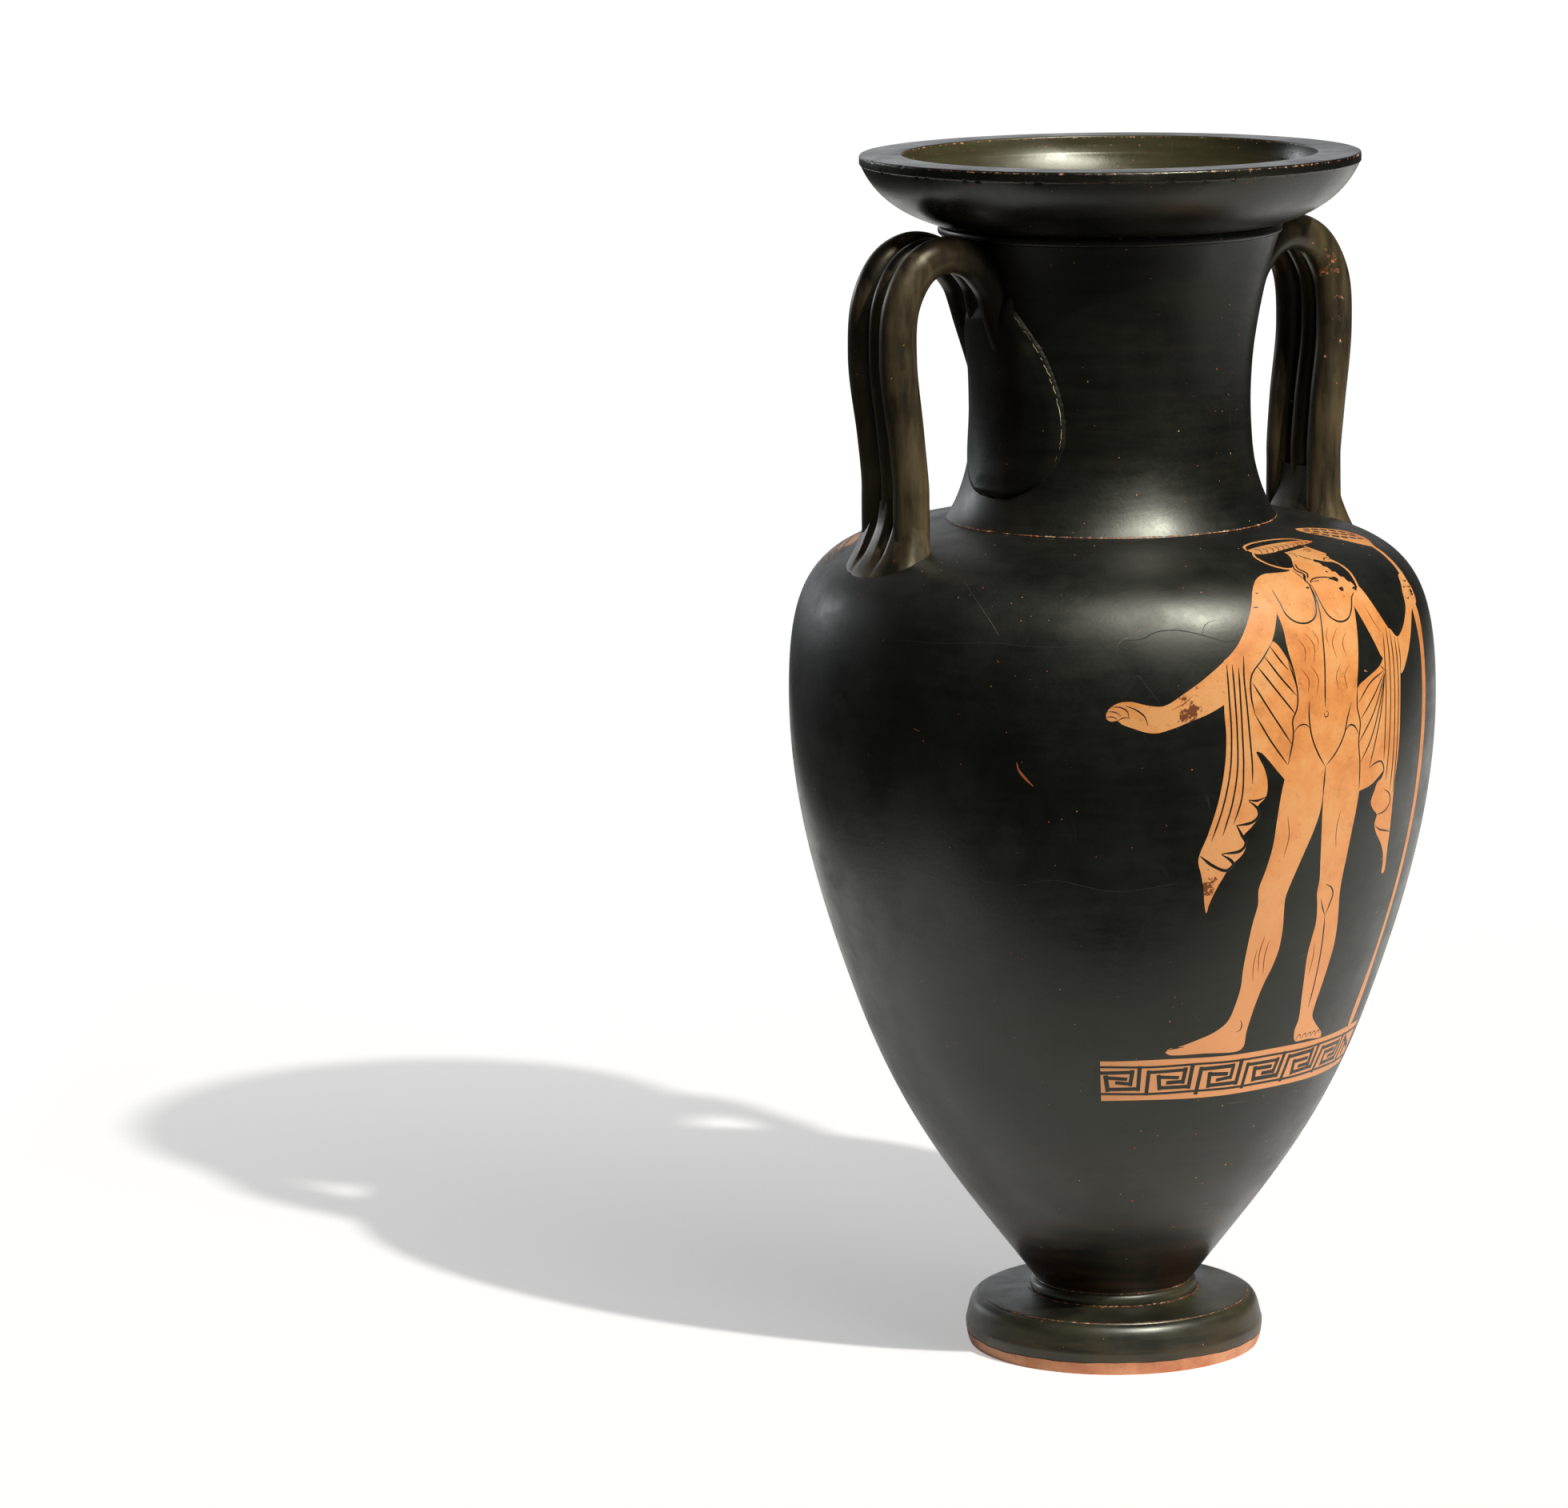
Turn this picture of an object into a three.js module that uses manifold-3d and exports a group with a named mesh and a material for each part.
// Neck amphora with triple handles: black-glazed clay, millimetres, +Z up.
// The origin is the middle of the foot's resting ring, and the figured front faces -Y.
// Foot, body and neck are thrown on a wheel. The handles are rolled and luted on at +X and -X.
import * as THREE from 'three';
import { mergeVertices } from 'three/addons/utils/BufferGeometryUtils.js';
import Module from 'manifold-3d';

const wasm = await Module();
wasm.setup();

// Foot: a thick disc with a rounded edge and a turned hollow below
const FOOT_HEIGHT = 15.4;
const FOOT_RADIUS = 42.5;
const FOOT_REST_RADIUS = 41.4;
const FOOT_EDGE_RADIUS = 38.7;
const FOOT_EDGE_DROP = 1.5;
const FOOT_HOLLOW_RADIUS = 33.5;
const FOOT_HOLLOW_DEPTH = 8.5;

// Fillet: the small turned ring between foot and body
const FILLET_HEIGHT = 3.2;
const FILLET_RADIUS = 23.9;
const STEM_RADIUS = 22.6;

// Body: one thrown wall from the stem to the foot of the neck
const BODY_HEIGHT = 219.2;
const BELLY_RADIUS = 91.2;
const BODY_WALL = 5.5;
const BODY_FLOOR = 8;

// Neck: a trumpet, narrowest at its waist
const NECK_HEIGHT = 79.8;
const NECK_FOOT_RADIUS = 46.6;
const NECK_FOOT_LEDGE = 0.6;
const NECK_WAIST_RADIUS = 38.8;
const NECK_TOP_RADIUS = 47.2;
const NECK_WALL = 5;

// Neck ring: the turned moulding under the mouth
const RING_HEIGHT = 2.7;
const RING_SWELL = 1.4;

// Mouth: a flaring lip with a flat top
const MOUTH_HEIGHT = 19.7;
const MOUTH_RADIUS = 69.9;
const MOUTH_OPENING_RADIUS = 57.9;
const MOUTH_FOOT_OVERHANG = 0.7;
const LIP_BAND = 2.6;
const LIP_EASE = 0.7;
const LIP_INNER_LEAN = 0.35;
const LIP_INNER_DROP = 4.8;

// Handles: two rolls with a rib between them, swept a little towards the back
const HANDLE_SWEEP = THREE.MathUtils.degToRad(3.3);
const ROLL_WIDTH = 9.4;
const ROLL_DEPTH = 10.4;
const RIB_WIDTH = 7.8;
const RIB_DEPTH = 8;
const ROLL_GAP = 0.7;
const HANDLE_REACH = 72;
const HANDLE_ARCH_HEIGHT = 67.6;
const ROOT_RISE = 9.3;
const ROOT_SPREAD = 8;
const ROOT_DEPTH = 9;
const ROOT_SHIFT = 5;
const ROOT_GROOVE_DEPTH = 2.4;

// Tongue: the clay pressed down the neck below each handle's inner end
const TONGUE_TURN = THREE.MathUtils.degToRad(8.3);
const TONGUE_THICKNESS = 1.6;
const TONGUE_HALF_WIDTH = 22.6;
const TONGUE_LENGTH = 53;
const TONGUE_RISE = 9;

// Clearance that a luted piece keeps to what carries it, and what a cutting solid runs past
const JOINT_GAP = 0.3;
const OVERRUN = 12;

const TURN_STEPS = 56;
const LONG_CURVE_STEPS = 7;
const SHORT_CURVE_STEPS = 4;
const MOULDING_STEPS = 2;
const ROLL_SIDES = 10;
const ROLL_STEPS = 24;
const ROOT_SIDES = 32;

// Control points of each curve, as shares of the way from its start to its end: [outwards, upwards]
const FOOT_WIDEST_SHARE = 0.4;
const FOOT_LOWER_SHARES = [[0.55, 0.2], [1, 0.6]];
const FOOT_UPPER_SHARES = [[0, 0.48], [0.3, 0.9]];
const HOLLOW_SHARES = [[0.1, 0.6], [0.5, 1]];
const BODY_WAIST_OUT_SHARE = 0.732;
const BODY_WAIST_UP_SHARE = 0.377;
const BODY_LOWER_SHARES = [[0.36, 0.3], [0.72, 0.525]];
const BODY_UPPER_SHARES = [[0.51, 0.3], [1, 0.64]];
const BELLY_LEVEL_SHARE = 0.77;
const SHOULDER_SHARES = [[0, 0.76], [0.2, 0.9]];
const NECK_WAIST_SHARE = 0.395;
const NECK_LOWER_SHARES = [[0.67, 0.23], [1, 0.62]];
const NECK_UPPER_SHARES = [[0, 0.22], [0.34, 0.65]];
const FILLET_SHARES = [[0.8, 0.1], [1, 0.5]];
const RING_CROWN_SHARE = 0.5;
const RING_LOWER_SHARES = [[0.7, 0], [1, 0.4]];
const RING_UPPER_SHARES = [[0, 0.6], [0.3, 1]];
const MOUTH_SHARES = [[0.6, 0.23], [0.86, 0.59]];
const FUNNEL_SHARES = [[0.12, 0.35], [0.55, 0.72]];
const TONGUE_BELOW_SHARE = 0.6;
const TONGUE_WIDEST_SHARE = 0.32;
const TONGUE_FLAT_SHARE = 0.45;
const TONGUE_LOWER_SHARES = [[0.62, 0], [1, 0.5]];
const TONGUE_UPPER_SHARES = [[0, 0.4], [0.36, 1]];

// Handle centre line: [share of the reach beyond the neck's waist, share of the arch's height]
const HANDLE_PATH_SHARES = [
  [0.89, 0], [0.89, 0.06], [0.93, 0.27], [1, 0.58], [0.96, 0.81], [0.78, 0.955],
  [0.55, 1], [0.31, 0.965], [0.13, 0.86], [0.01, 0.72],
];

// How far the roots reach down the shoulder, as a share of its height
const ROOT_DROP_SHARE = 0.45;

// Root sections from its top down: [share of the length, outward shift, spread, extra depth]
const ROOT_SECTION_SHARES = [
  [0, 0, 0, 0], [0.22, 0.04, 0.05, 0.05], [0.42, 0.16, 0.2, 0.22],
  [0.62, 0.42, 0.46, 0.52], [0.8, 0.7, 0.72, 0.72], [1, 1, 1, 1],
];

// Levels that the pieces share, from the resting face up
const FILLET_LEVEL = FOOT_HEIGHT;
const BODY_LEVEL = FILLET_LEVEL + FILLET_HEIGHT;
const NECK_LEVEL = BODY_LEVEL + BODY_HEIGHT;
const RING_LEVEL = NECK_LEVEL + NECK_HEIGHT;
const MOUTH_LEVEL = RING_LEVEL + RING_HEIGHT;
const MOUTH_TOP = MOUTH_LEVEL + MOUTH_HEIGHT;
const WAIST_LEVEL = NECK_LEVEL + NECK_WAIST_SHARE * NECK_HEIGHT;
const SHOULDER_HEIGHT = (1 - BELLY_LEVEL_SHARE) * BODY_HEIGHT;
const ROOT_TOP = NECK_LEVEL + ROOT_RISE;
const ROOT_LENGTH = ROOT_RISE + ROOT_DROP_SHARE * SHOULDER_HEIGHT;
const NECK_BORE_RADIUS = NECK_FOOT_RADIUS - NECK_WALL;
const RING_BORE_RADIUS = NECK_TOP_RADIUS - NECK_WALL;

// A point of a profile: x is the radius, y the height above the resting face
const at = (radius, level) => new THREE.Vector2(radius, level);

// Points along a curve from one profile point to another, without the start
function bend(from, to, shares, steps) {
  const [first, second] = shares.map(([out, up]) => at(
    THREE.MathUtils.lerp(from.x, to.x, out), THREE.MathUtils.lerp(from.y, to.y, up)));
  return new THREE.CubicBezierCurve(from, first, second, to).getPoints(steps).slice(1);
}

// A turned solid: the profile spun about the vertical axis
function turned(profile) {
  return new THREE.LatheGeometry(profile, TURN_STEPS).rotateX(Math.PI / 2);
}

// A closed mesh as a solid that can be cut and joined
function solidOf(geometry) {
  const bare = geometry.clone();
  bare.deleteAttribute('normal');
  bare.deleteAttribute('uv');
  const merged = mergeVertices(bare);
  const corners = merged.index.array;
  const kept = [];
  for (let i = 0; i < corners.length; i += 3) {
    const [a, b, c] = corners.slice(i, i + 3);
    if (a !== b && b !== c && c !== a) kept.push(a, b, c);
  }
  return new wasm.Manifold(new wasm.Mesh({
    numProp: 3,
    vertProperties: new Float32Array(merged.attributes.position.array),
    triVerts: new Uint32Array(kept),
  }));
}

// A cut solid back as a mesh
function geometryOf(solid) {
  const { vertProperties, triVerts } = solid.getMesh();
  const geometry = new THREE.BufferGeometry();
  geometry.setAttribute('position', new THREE.BufferAttribute(new Float32Array(vertProperties), 3));
  geometry.setIndex(new THREE.BufferAttribute(new Uint32Array(triVerts), 1));
  geometry.computeVertexNormals();
  return geometry;
}

// Foot disc, standing on a flat ring round its turned hollow
function footProfile() {
  const rest = at(FOOT_REST_RADIUS, 0);
  const widest = at(FOOT_RADIUS, FOOT_WIDEST_SHARE * FOOT_HEIGHT);
  const edge = at(FOOT_EDGE_RADIUS, FOOT_HEIGHT - FOOT_EDGE_DROP);
  const hollowEdge = at(FOOT_HOLLOW_RADIUS, 0);
  const hollowTop = at(0, FOOT_HOLLOW_DEPTH);
  return [
    rest, ...bend(rest, widest, FOOT_LOWER_SHARES, MOULDING_STEPS),
    ...bend(widest, edge, FOOT_UPPER_SHARES, SHORT_CURVE_STEPS),
    at(FILLET_RADIUS, FOOT_HEIGHT), at(0, FOOT_HEIGHT), hollowTop,
    ...bend(hollowEdge, hollowTop, HOLLOW_SHARES, SHORT_CURVE_STEPS).reverse().slice(1),
    hollowEdge, rest.clone(),
  ];
}

// Fillet ring, drawn in towards the stem
function filletProfile() {
  const foot = at(FILLET_RADIUS, FILLET_LEVEL);
  const stem = at(STEM_RADIUS, BODY_LEVEL);
  return [
    at(0, FILLET_LEVEL), foot, ...bend(foot, stem, FILLET_SHARES, MOULDING_STEPS), at(0, BODY_LEVEL),
  ];
}

// Outer curve of the body, from the stem to the ledge round the neck
function bodyOutline() {
  const stem = at(STEM_RADIUS, BODY_LEVEL);
  const waist = at(
    THREE.MathUtils.lerp(STEM_RADIUS, BELLY_RADIUS, BODY_WAIST_OUT_SHARE),
    BODY_LEVEL + BODY_WAIST_UP_SHARE * BODY_HEIGHT);
  const belly = at(BELLY_RADIUS, BODY_LEVEL + BELLY_LEVEL_SHARE * BODY_HEIGHT);
  const ledge = at(NECK_FOOT_RADIUS + NECK_FOOT_LEDGE, NECK_LEVEL);
  return [
    stem, ...bend(stem, waist, BODY_LOWER_SHARES, LONG_CURVE_STEPS),
    ...bend(waist, belly, BODY_UPPER_SHARES, LONG_CURVE_STEPS),
    ...bend(belly, ledge, SHOULDER_SHARES, LONG_CURVE_STEPS),
  ];
}

// A curve moved along its own normal: inwards by a positive distance
function offsetInwards(points, distance) {
  return points.map((point, i) => {
    const before = points[Math.max(i - 1, 0)];
    const after = points[Math.min(i + 1, points.length - 1)];
    const along = after.clone().sub(before).normalize();
    return at(point.x - along.y * distance, point.y + along.x * distance);
  });
}

// Body wall: hollow, with a thick floor and a round hole for the neck
function bodyProfile() {
  const outline = bodyOutline();
  const inner = offsetInwards(outline, BODY_WALL).filter((point, i) => (
    i % 2 === 1 && i < outline.length - 1 && point.y > BODY_LEVEL + BODY_FLOOR));
  return [
    at(0, BODY_LEVEL), ...outline, at(NECK_BORE_RADIUS, NECK_LEVEL),
    at(NECK_BORE_RADIUS, NECK_LEVEL - BODY_WALL), ...inner.reverse(), at(0, BODY_LEVEL + BODY_FLOOR),
  ];
}

// Outer curve of the neck
function neckOutline() {
  const foot = at(NECK_FOOT_RADIUS, NECK_LEVEL);
  const waist = at(NECK_WAIST_RADIUS, WAIST_LEVEL);
  const top = at(NECK_TOP_RADIUS, RING_LEVEL);
  return [
    foot, ...bend(foot, waist, NECK_LOWER_SHARES, SHORT_CURVE_STEPS),
    ...bend(waist, top, NECK_UPPER_SHARES, SHORT_CURVE_STEPS),
  ];
}

// A band that follows the neck's outside between two distances from it
function neckBand(inside, outside) {
  const outline = neckOutline();
  const shifted = (distance) => outline.map((point) => at(point.x + distance, point.y));
  return [...shifted(outside), ...shifted(inside).reverse(), shifted(outside)[0]];
}

// Neck ring: a half-round moulding
function ringProfile() {
  const low = at(NECK_TOP_RADIUS, RING_LEVEL);
  const crown = at(NECK_TOP_RADIUS + RING_SWELL, RING_LEVEL + RING_CROWN_SHARE * RING_HEIGHT);
  const high = at(NECK_TOP_RADIUS, MOUTH_LEVEL);
  return [
    low, ...bend(low, crown, RING_LOWER_SHARES, MOULDING_STEPS),
    ...bend(crown, high, RING_UPPER_SHARES, MOULDING_STEPS),
    at(RING_BORE_RADIUS, MOUTH_LEVEL), at(RING_BORE_RADIUS, RING_LEVEL), low.clone(),
  ];
}

// Mouth: curved underside, upright lip band, flat top and a funnel inside
function mouthProfile() {
  const foot = at(NECK_TOP_RADIUS + MOUTH_FOOT_OVERHANG, MOUTH_LEVEL);
  const band = at(MOUTH_RADIUS, MOUTH_TOP - LIP_BAND);
  const innerDrop = at(MOUTH_OPENING_RADIUS - LIP_INNER_LEAN, MOUTH_TOP - LIP_INNER_DROP);
  const bore = at(RING_BORE_RADIUS, MOUTH_LEVEL);
  return [
    foot, ...bend(foot, band, MOUTH_SHARES, LONG_CURVE_STEPS), at(MOUTH_RADIUS, MOUTH_TOP - LIP_EASE),
    at(MOUTH_RADIUS - LIP_EASE, MOUTH_TOP), at(MOUTH_OPENING_RADIUS, MOUTH_TOP), innerDrop,
    ...bend(innerDrop, bore, FUNNEL_SHARES, SHORT_CURVE_STEPS), foot.clone(),
  ];
}

// Centre line of a handle in its own upright plane, moved sideways to its roll
function handlePath(sideways) {
  const reach = HANDLE_REACH - NECK_WAIST_RADIUS;
  const points = HANDLE_PATH_SHARES.map(([out, up]) => new THREE.Vector3(
    NECK_WAIST_RADIUS + out * reach, sideways, ROOT_TOP + JOINT_GAP + up * HANDLE_ARCH_HEIGHT));
  return new THREE.CatmullRomCurve3(points, false, 'centripetal');
}

// One rolled strand of a handle: an oval section along the centre line
function strand(width, depth, sideways) {
  const section = new THREE.Shape();
  section.absellipse(0, 0, width / 2, depth / 2, 0, 2 * Math.PI);
  return new THREE.ExtrudeGeometry(section, {
    curveSegments: ROLL_SIDES / 2, steps: ROLL_STEPS, extrudePath: handlePath(sideways),
  });
}

// Root: the strands merged into one block that flares out over the shoulder
function rootGeometry() {
  const [legOut] = HANDLE_PATH_SHARES[0];
  const legRadius = THREE.MathUtils.lerp(NECK_WAIST_RADIUS, HANDLE_REACH, legOut);
  const halfWidth = RIB_WIDTH / 2 + ROLL_GAP + ROLL_WIDTH;
  const grooveAt = (RIB_WIDTH + ROLL_GAP) / 2;
  const positions = [];
  for (const [down, shift, spread, deepen] of ROOT_SECTION_SHARES) {
    const middle = legRadius + shift * ROOT_SHIFT;
    const wide = halfWidth + spread * ROOT_SPREAD;
    const deep = ROLL_DEPTH / 2 + deepen * ROOT_DEPTH;
    const groove = ROOT_GROOVE_DEPTH * (1 - deepen);
    for (let side = 0; side < ROOT_SIDES; side += 1) {
      const angle = (2 * Math.PI * side) / ROOT_SIDES;
      const across = wide * Math.sin(angle);
      const facing = Math.cos(angle);
      const outward = Math.sign(facing) * Math.abs(facing) ** ((1 + deepen) / 2);
      const fromGroove = (Math.abs(across) - grooveAt) / (2 * ROLL_GAP);
      const dip = outward > 0 ? groove * Math.exp(-(fromGroove ** 2)) : 0;
      positions.push(middle + deep * outward - dip, across, ROOT_TOP - down * ROOT_LENGTH);
    }
  }
  const faces = [];
  const rings = ROOT_SECTION_SHARES.length;
  for (let ring = 0; ring + 1 < rings; ring += 1) {
    for (let side = 0; side < ROOT_SIDES; side += 1) {
      const next = (side + 1) % ROOT_SIDES;
      const [a, b] = [ring * ROOT_SIDES + side, ring * ROOT_SIDES + next];
      faces.push(a, a + ROOT_SIDES, b, b, a + ROOT_SIDES, b + ROOT_SIDES);
    }
  }
  const topEdge = Array.from(
    { length: ROOT_SIDES }, (_, side) => at(positions[3 * side], positions[3 * side + 1]));
  const lowest = (rings - 1) * ROOT_SIDES;
  for (const [a, b, c] of THREE.ShapeUtils.triangulateShape(topEdge, [])) {
    faces.push(a, b, c, lowest + a, lowest + c, lowest + b);
  }
  const geometry = new THREE.BufferGeometry();
  geometry.setAttribute('position', new THREE.Float32BufferAttribute(positions, 3));
  geometry.setIndex(faces);
  return geometry;
}

// Outline of the tongue as seen from outside, grown on all sides by the given length
function tongueOutline(grow) {
  const middle = WAIST_LEVEL + TONGUE_RISE;
  const bottom = middle - TONGUE_BELOW_SHARE * TONGUE_LENGTH - grow;
  const top = middle + (1 - TONGUE_BELOW_SHARE) * TONGUE_LENGTH + grow;
  const lowest = at(0, bottom);
  const widest = at(TONGUE_HALF_WIDTH + grow, THREE.MathUtils.lerp(bottom, top, TONGUE_WIDEST_SHARE));
  const corner = at(TONGUE_FLAT_SHARE * widest.x, top);
  const half = [
    ...bend(lowest, widest, TONGUE_LOWER_SHARES, SHORT_CURVE_STEPS),
    ...bend(widest, corner, TONGUE_UPPER_SHARES, SHORT_CURVE_STEPS),
  ];
  const mirrored = half.map((point) => at(-point.x, point.y)).reverse();
  return new THREE.Shape([lowest, ...half, ...mirrored]);
}

// Tongue: the part of a shell round the neck that lies inside the outline, facing +X before its turn
function tongueSolid(grow, turn) {
  const shell = solidOf(turned(neckBand(JOINT_GAP - grow, JOINT_GAP + TONGUE_THICKNESS + grow)));
  const cutter = new THREE.ExtrudeGeometry(tongueOutline(grow), {
    depth: NECK_WAIST_RADIUS + OVERRUN, bevelEnabled: false,
  });
  cutter.rotateX(Math.PI / 2).rotateZ(Math.PI / 2 + turn);
  return shell.intersect(solidOf(cutter));
}

// What a handle has to stay clear of: the turned pieces, filled in and grown by the gap
function turnedKeepOut() {
  const outwards = (point) => at(point.x + JOINT_GAP, point.y);
  const grown = [
    ...offsetInwards(bodyOutline(), -JOINT_GAP),
    ...neckOutline().map(outwards),
    ...ringProfile().filter((point) => point.x >= NECK_TOP_RADIUS).map(outwards),
  ];
  const rising = [at(0, BODY_LEVEL)];
  for (const point of grown) {
    if (point.y > rising[rising.length - 1].y) rising.push(point);
  }
  const last = rising[rising.length - 1];
  return solidOf(turned([...rising, at(0, last.y)]));
}

const GLAZE = { color: 0x17160f, roughness: 0.28, metalness: 0 };
const HANDLE_GLAZE = { color: 0x2c2517, roughness: 0.3, metalness: 0 };

function piece(name, geometry, look) {
  const mesh = new THREE.Mesh(geometry, new THREE.MeshStandardMaterial(look));
  mesh.name = name;
  return mesh;
}

// One handle in its own frame, reaching out along +X. The front of the pot lies towards frontSign * Y.
function handle(name, frontSign, keepOut) {
  const group = new THREE.Group();
  const turn = frontSign * TONGUE_TURN;
  const clear = keepOut.add(tongueSolid(JOINT_GAP, turn));
  const pitch = (RIB_WIDTH + ROLL_WIDTH) / 2 + ROLL_GAP;
  const cutAway = (geometry) => geometryOf(solidOf(geometry).subtract(clear));
  group.add(
    piece(`${name}_root`, geometryOf(solidOf(rootGeometry()).subtract(keepOut)), HANDLE_GLAZE),
    piece(`${name}_roll_front`, cutAway(strand(ROLL_WIDTH, ROLL_DEPTH, frontSign * pitch)), HANDLE_GLAZE),
    piece(`${name}_rib`, cutAway(strand(RIB_WIDTH, RIB_DEPTH, 0)), HANDLE_GLAZE),
    piece(`${name}_roll_back`, cutAway(strand(ROLL_WIDTH, ROLL_DEPTH, -frontSign * pitch)), HANDLE_GLAZE),
    piece(`${name}_tongue`, geometryOf(tongueSolid(0, turn)), GLAZE));
  return group;
}

const amphora = new THREE.Group();
amphora.name = 'neck_amphora';
amphora.add(
  piece('foot_disc', turned(footProfile()), GLAZE),
  piece('foot_fillet', turned(filletProfile()), GLAZE),
  piece('body_wall', turned(bodyProfile()), GLAZE),
  piece('neck_wall', turned(neckBand(-NECK_WALL, 0)), GLAZE),
  piece('neck_ring', turned(ringProfile()), GLAZE),
  piece('mouth_lip', turned(mouthProfile()), GLAZE));

const keepOut = turnedKeepOut();
const right = handle('handle_right', -1, keepOut);
right.rotation.z = HANDLE_SWEEP;
const left = handle('handle_left', 1, keepOut);
left.rotation.z = Math.PI - HANDLE_SWEEP;
amphora.add(right, left);

export default amphora;
